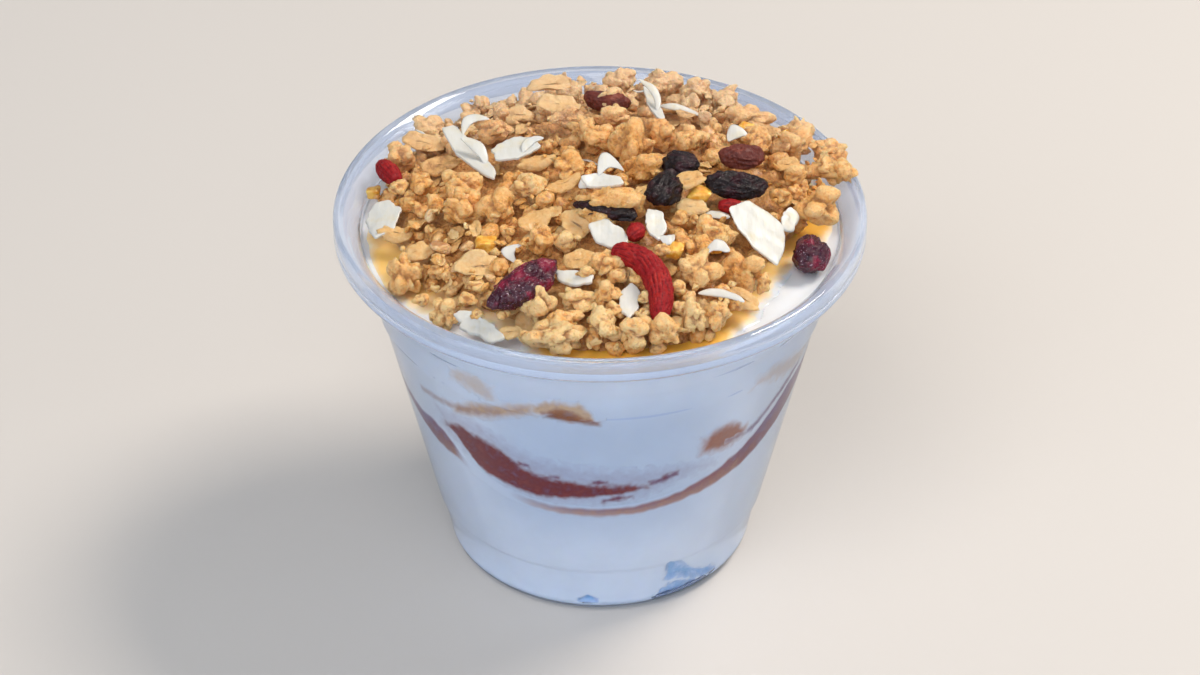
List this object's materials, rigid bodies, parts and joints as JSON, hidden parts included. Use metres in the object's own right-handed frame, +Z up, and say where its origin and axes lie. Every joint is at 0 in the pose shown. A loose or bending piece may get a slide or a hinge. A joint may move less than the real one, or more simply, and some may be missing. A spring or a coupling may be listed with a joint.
{
  "type": "cup of yogurt with muesli",
  "caption": "Clear round cup filled with yogurt and berry sauce in layers, under a heap of muesli clusters with dried fruit, goji berries and coconut chips.",
  "frame": {"origin": "centre of the cup's foot, on the surface it stands on", "axes": "+Z up along the cup's axis, -Y towards the picture's view, +X to the picture's right"},
  "size_m": [0.098, 0.098, 0.0848],
  "materials": {
    "cup": "clear, slightly blue, glossy",
    "yogurt": "smooth wet yogurt",
    "sauce": "dark berry sauce",
    "muesli": "toasted, crumbly, partly glazed with honey",
    "goji": "wrinkled dried berry",
    "cranberry": "wrinkled, semi-gloss",
    "raisin": "wrinkled, semi-gloss",
    "coconut": "dry, satin flake"
  },
  "bodies": {
    "root": {"cup": "cup", "yogurt_lower": "yogurt", "yogurt_upper": "yogurt", "berry_sauce": "sauce", "sauce_swirl": "sauce", "oat_seam": "muesli", "buried_granola": "muesli", "muesli": "muesli", "goji_1": "goji", "goji_2": "goji", "goji_3": "goji", "goji_4": "goji", "cranberry_1": "cranberry", "cranberry_2": "cranberry", "raisin_1": "raisin", "raisin_2": "cranberry", "raisin_3": "raisin", "raisin_4": "raisin", "raisin_5": "raisin", "raisin_6": "cranberry", "coconut_chip_1": "coconut", "coconut_chip_2": "coconut", "coconut_chip_3": "coconut", "coconut_chip_4": "coconut", "coconut_chip_5": "coconut", "coconut_chip_6": "coconut", "coconut_chip_7": "coconut", "coconut_chip_8": "coconut", "coconut_chip_9": "coconut", "coconut_chip_10": "coconut", "coconut_chip_11": "coconut", "coconut_chip_12": "coconut"}
  },
  "joints": []
}
